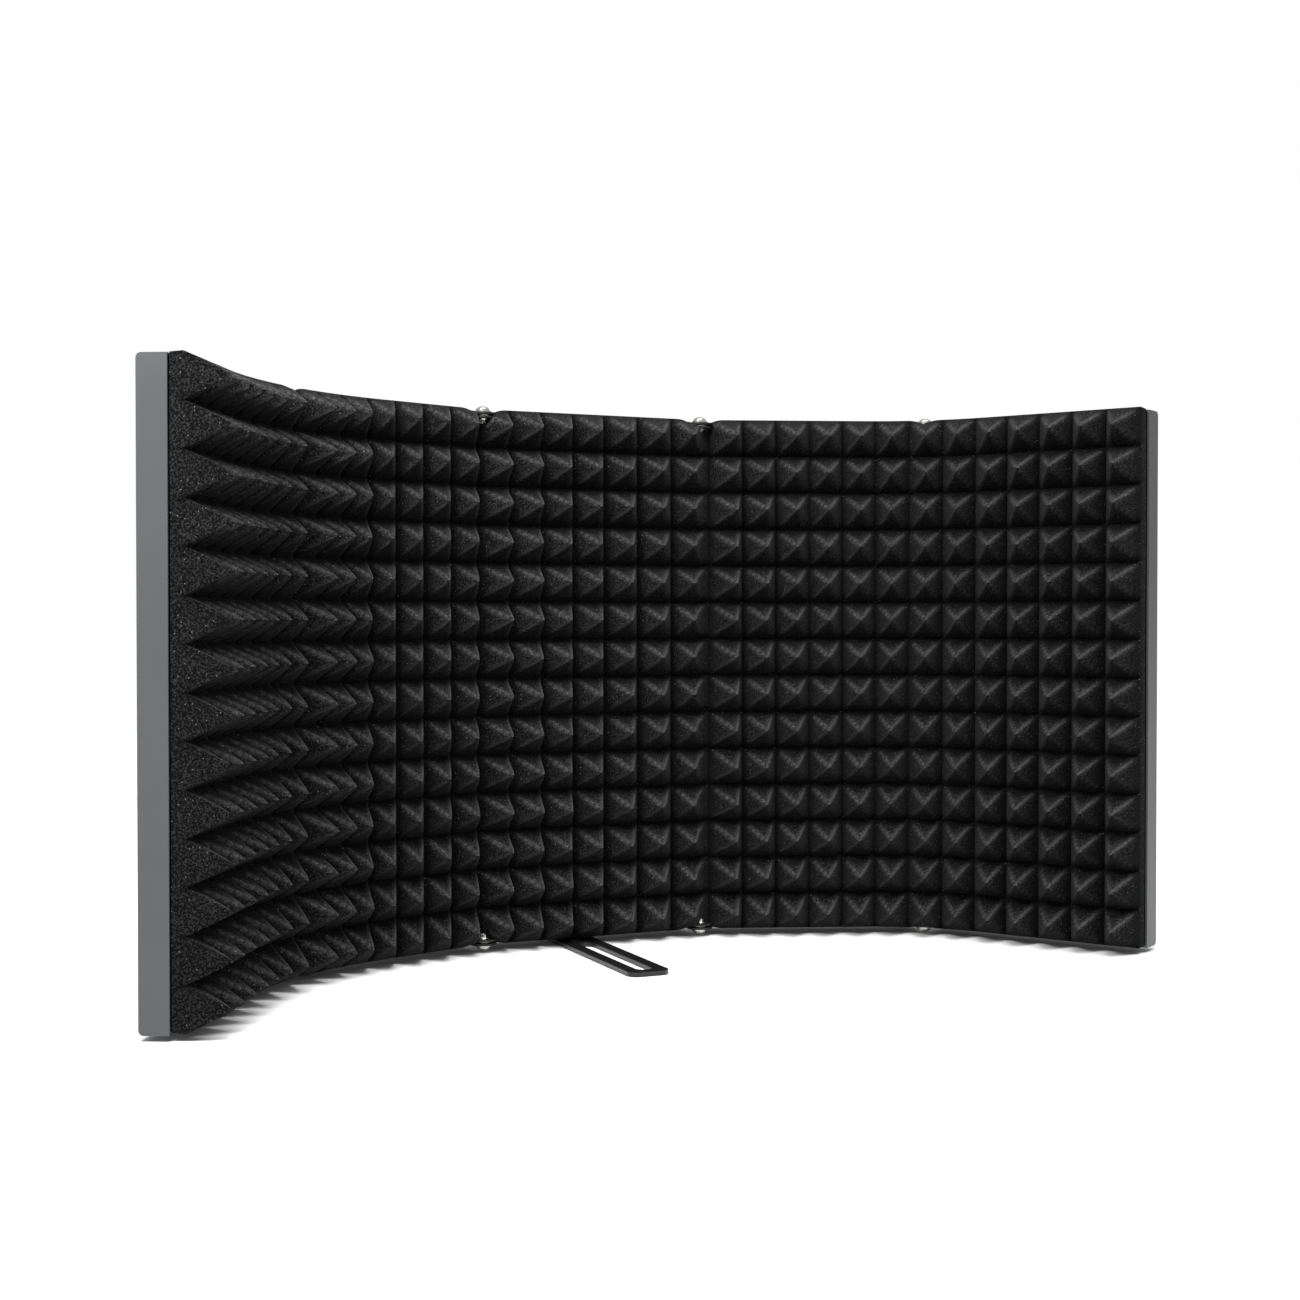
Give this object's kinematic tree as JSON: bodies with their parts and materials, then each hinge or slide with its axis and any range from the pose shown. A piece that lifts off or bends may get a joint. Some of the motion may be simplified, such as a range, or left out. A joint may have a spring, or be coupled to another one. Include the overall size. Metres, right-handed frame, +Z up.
{
  "type": "folding microphone isolation shield",
  "caption": "Folding desk shield of hinged sheet-metal panels lined with pyramid acoustic foam, with a slotted bar in front for a microphone mount.",
  "frame": {"origin": "on the standing plane, under the middle of the overall box", "axes": "+Z up; the middle panel is parallel to X and its foam faces -Y, the way the microphone bar points; panels are numbered from -X to +X"},
  "size_m": [0.5966, 0.214, 0.325],
  "materials": {
    "pan_coat": "satin charcoal powder coat",
    "foam": "open-cell charcoal foam",
    "lug": "black oxide",
    "fastener": "bright nickel plate",
    "bar": "satin black",
    "bar_fastener": "black oxide"
  },
  "bodies": {
    "panel_1": {"pan_1": "pan_coat", "foam_1": "foam", "lug_1_top_left": "lug", "lug_1_bottom_left": "lug"},
    "panel_2": {"pan_2": "pan_coat", "foam_2": "foam", "lug_2_top_left": "lug", "lug_2_bottom_left": "lug", "lug_1_top_right": "lug", "lug_1_bottom_right": "lug", "screw_1_top": "fastener", "screw_1_bottom": "fastener", "washer_1_top": "fastener", "washer_1_bottom": "fastener", "nut_1_top": "fastener", "nut_1_bottom": "fastener"},
    "panel_3": {"pan_3": "pan_coat", "foam_3": "foam", "lug_3_top_left": "lug", "lug_3_bottom_left": "lug", "lug_2_top_right": "lug", "lug_2_bottom_right": "lug", "screw_2_top": "fastener", "screw_2_bottom": "fastener", "washer_2_top": "fastener", "washer_2_bottom": "fastener", "nut_2_top": "fastener", "nut_2_bottom": "fastener", "mic_bar": "bar", "bar_screw_1": "bar_fastener", "bar_screw_2": "bar_fastener"},
    "panel_4": {"pan_4": "pan_coat", "foam_4": "foam", "lug_4_top_left": "lug", "lug_4_bottom_left": "lug", "lug_3_top_right": "lug", "lug_3_bottom_right": "lug", "screw_3_top": "fastener", "screw_3_bottom": "fastener", "washer_3_top": "fastener", "washer_3_bottom": "fastener", "nut_3_top": "fastener", "nut_3_bottom": "fastener"},
    "panel_5": {"pan_5": "pan_coat", "foam_5": "foam", "lug_4_top_right": "lug", "lug_4_bottom_right": "lug", "screw_4_top": "fastener", "screw_4_bottom": "fastener", "washer_4_top": "fastener", "washer_4_bottom": "fastener", "nut_4_top": "fastener", "nut_4_bottom": "fastener"}
  },
  "joints": [
    {"name": "fold_2", "type": "hinge", "parent": "panel_3", "child": "panel_2", "pos_m": [-0.07398, 0.07523, 0.1625], "axis": [0, 0, 1], "range_deg": [-19.1, 40.9]},
    {"name": "fold_1", "type": "hinge", "parent": "panel_2", "child": "panel_1", "pos_m": [-0.20911, 0.02843, 0.1625], "axis": [0, 0, 1], "range_deg": [-43, 17]},
    {"name": "fold_3", "type": "hinge", "parent": "panel_3", "child": "panel_4", "pos_m": [0.06902, 0.07523, 0.1625], "axis": [0, 0, -1], "range_deg": [-20.3, 39.7]},
    {"name": "fold_4", "type": "hinge", "parent": "panel_4", "child": "panel_5", "pos_m": [0.20314, 0.02561, 0.1625], "axis": [0, 0, -1], "range_deg": [-38.7, 21.3]}
  ]
}
